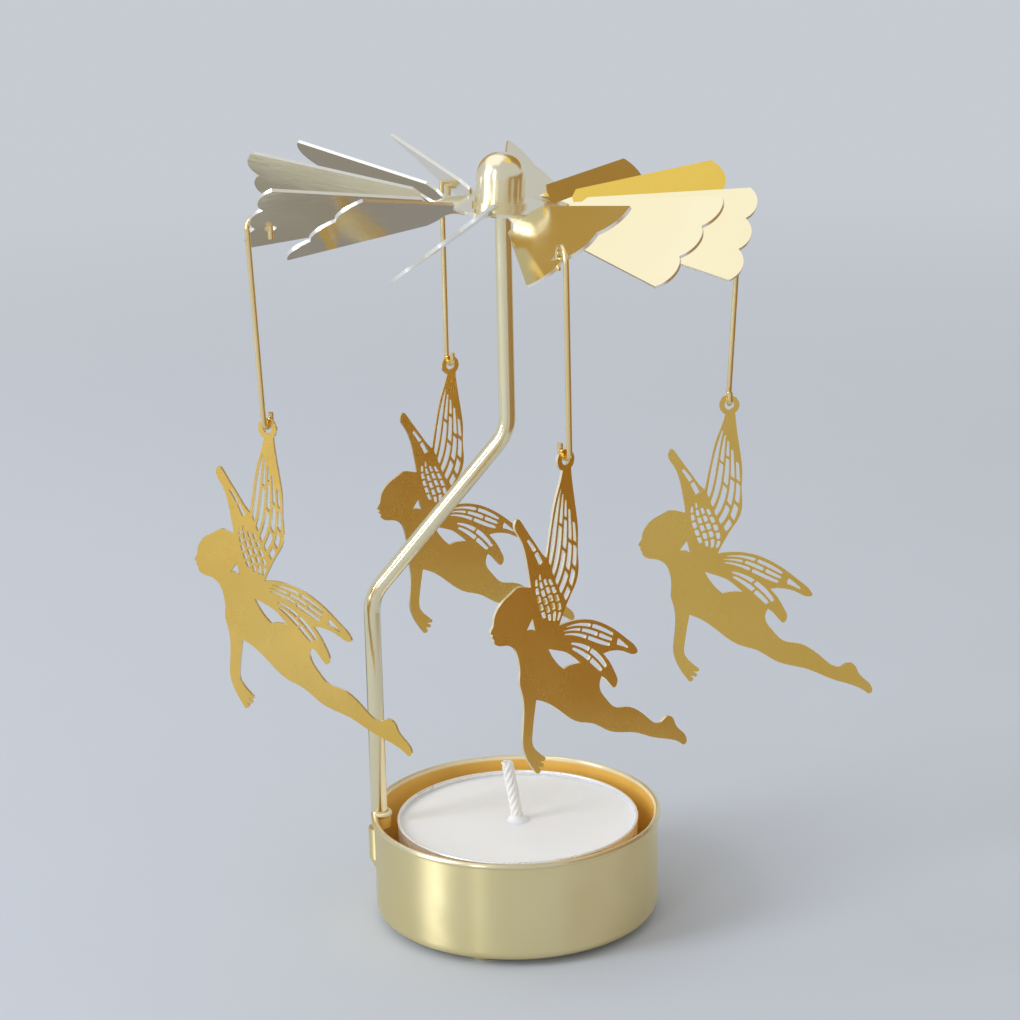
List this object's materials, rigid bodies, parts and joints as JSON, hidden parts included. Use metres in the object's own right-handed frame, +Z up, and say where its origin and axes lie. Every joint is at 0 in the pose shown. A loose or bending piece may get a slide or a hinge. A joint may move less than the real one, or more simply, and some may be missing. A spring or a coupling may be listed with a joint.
{
  "type": "tea light rotary carousel",
  "caption": "Rotary tea-light carousel: hot air from a tea light in a pressed cup turns a bladed rotor on a needle point that carries hanging pierced fairies.",
  "frame": {"origin": "on the table, under the middle of the cup, where the rotor's spin axis meets the table", "axes": "+Z up along the spin axis, -X to the post's foot, -Y to the side the picture was taken from"},
  "size_m": [0.108, 0.0933, 0.1247],
  "materials": {
    "cup_gold": "satin gold plate",
    "post_gold": "polished gold plate",
    "rotor_gold": "mirror-bright gold plate",
    "fairy_gold": "satin gold plate",
    "hanger_gold": "polished gold wire",
    "tealight_metal": "bright rolled foil",
    "wax": "soft satin wax",
    "wick_cotton": "waxed cotton braid",
    "tab_metal": "tinned sheet"
  },
  "bodies": {
    "base": {"base_cup": "cup_gold", "post_rod": "post_gold"},
    "tealight": {"tealight_cup": "tealight_metal", "tealight_wax": "wax", "tealight_wick": "wick_cotton", "wick_tab": "tab_metal"},
    "rotor": {"rotor_wheel": "rotor_gold", "hub_cap": "rotor_gold"},
    "hanger_front": {"hanger_front": "hanger_gold"},
    "hanger_right": {"hanger_right": "hanger_gold"},
    "hanger_back": {"hanger_back": "hanger_gold"},
    "hanger_left": {"hanger_left": "hanger_gold"},
    "fairy_front": {"fairy_front": "fairy_gold"},
    "fairy_right": {"fairy_right": "fairy_gold"},
    "fairy_back": {"fairy_back": "fairy_gold"},
    "fairy_left": {"fairy_left": "fairy_gold"}
  },
  "joints": [
    {"name": "tealight_lift", "type": "slide", "parent": "base", "child": "tealight", "axis": [0, 0, 1], "range_m": [0, 0.016]},
    {"name": "rotor_spin", "type": "hinge", "parent": "base", "child": "rotor", "pos_m": [0, 0, 0.12359], "axis": [0, 0, 1], "continuous": true},
    {"name": "hanger_front_swing", "type": "hinge", "parent": "rotor", "child": "hanger_front", "pos_m": [0.00813, -0.0361, 0.11445], "axis": [-0.9537, -0.3007, 0], "range_deg": [-8, 25]},
    {"name": "hanger_right_swing", "type": "hinge", "parent": "rotor", "child": "hanger_right", "pos_m": [0.0351, 0.00857, 0.1112], "axis": [0.3007, -0.9537, 0], "range_deg": [-8, 25]},
    {"name": "hanger_back_swing", "type": "hinge", "parent": "rotor", "child": "hanger_back", "pos_m": [-0.00949, 0.03559, 0.11348], "axis": [0.9537, 0.3007, 0], "range_deg": [-8, 25]},
    {"name": "hanger_left_swing", "type": "hinge", "parent": "rotor", "child": "hanger_left", "pos_m": [-0.03638, -0.0089, 0.11486], "axis": [-0.3007, 0.9537, 0], "range_deg": [-8, 25]},
    {"name": "fairy_front_swing", "type": "hinge", "parent": "hanger_front", "child": "fairy_front", "pos_m": [0.00813, -0.0361, 0.08585], "axis": [0.6428, -0.766, 0], "range_deg": [-25, 25]},
    {"name": "fairy_right_swing", "type": "hinge", "parent": "hanger_right", "child": "fairy_right", "pos_m": [0.0351, 0.00857, 0.082], "axis": [0.0523, -0.9986, 0], "range_deg": [-25, 25]},
    {"name": "fairy_back_swing", "type": "hinge", "parent": "hanger_back", "child": "fairy_back", "pos_m": [-0.00949, 0.03559, 0.08298], "axis": [0.5, -0.866, 0], "range_deg": [-25, 25]},
    {"name": "fairy_left_swing", "type": "hinge", "parent": "hanger_left", "child": "fairy_left", "pos_m": [-0.03638, -0.0089, 0.08426], "axis": [-0.4695, -0.8829, 0], "range_deg": [-25, 25]}
  ]
}
